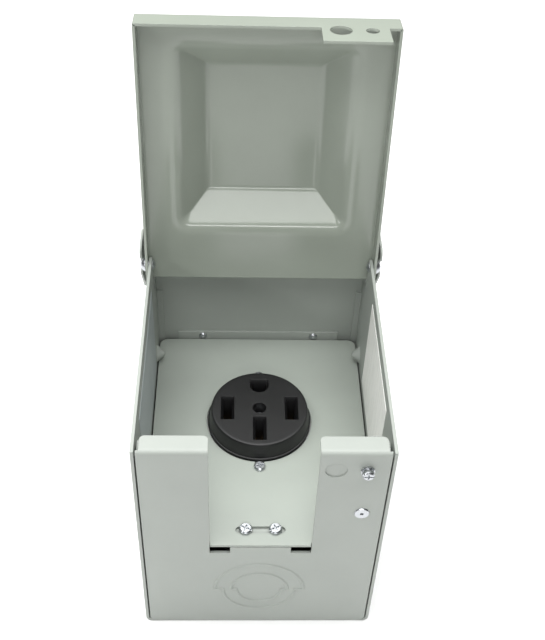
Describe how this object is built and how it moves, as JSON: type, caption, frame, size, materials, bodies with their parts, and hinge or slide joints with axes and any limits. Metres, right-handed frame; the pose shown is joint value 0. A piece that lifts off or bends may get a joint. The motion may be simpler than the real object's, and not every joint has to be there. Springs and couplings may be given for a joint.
{
  "type": "power outlet box",
  "caption": "Surface-mount sheet-steel power outlet box with a flip-up drawn lid, cable notch, deadfront plate and a round four-slot receptacle.",
  "frame": {"origin": "centre of the flat back face that goes against the wall", "axes": "the box lies on its back, as pictured: +Z points out of the wall, through the lid opening; +Y runs to the hinge end, which is up once the box is on a wall; +X is across"},
  "size_m": [0.1374, 0.1772, 0.2953],
  "materials": {
    "painted_sheet": "satin grey-green powder coat",
    "painted_plate": "satin grey-green powder coat",
    "painted_lid": "satin grey-green powder coat",
    "galvanised_steel": "dull zinc",
    "zinc_plate": "bright zinc",
    "black_moulding": "satin moulded thermoset",
    "contact_brass": "satin",
    "lug_aluminium": "satin",
    "ground_green": "green dyed zinc",
    "label_film": "satin film, blank"
  },
  "bodies": {
    "box": {"body_shell": "painted_sheet", "top_hood": "painted_sheet", "bottom_panel": "painted_sheet", "plate_bracket": "painted_sheet", "bracket_rivets": "zinc_plate", "deadfront_plate": "painted_plate", "deadfront_screws": "zinc_plate", "deadfront_nuts": "galvanised_steel", "receptacle_face": "black_moulding", "receptacle_housing": "black_moulding", "receptacle_strap": "galvanised_steel", "strap_screws": "zinc_plate", "centre_screw": "zinc_plate", "line_contact_left": "contact_brass", "line_contact_right": "contact_brass", "neutral_contact": "contact_brass", "ground_contact": "contact_brass", "terminal_screws": "zinc_plate", "ground_lug": "lug_aluminium", "ground_lug_screw": "ground_green", "flush_rivet": "zinc_plate", "lock_screw": "zinc_plate", "lock_screw_nut": "galvanised_steel", "hinge_rivet_left": "zinc_plate", "hinge_rivet_right": "zinc_plate", "rating_label": "label_film", "wiring_label": "label_film"},
    "lid": {"lid": "painted_lid"}
  },
  "joints": [
    {"name": "lid_hinge", "type": "hinge", "parent": "box", "child": "lid", "pos_m": [0, 0.0606, 0.1494], "axis": [1, 0, 0], "range_deg": [0, 96]}
  ]
}
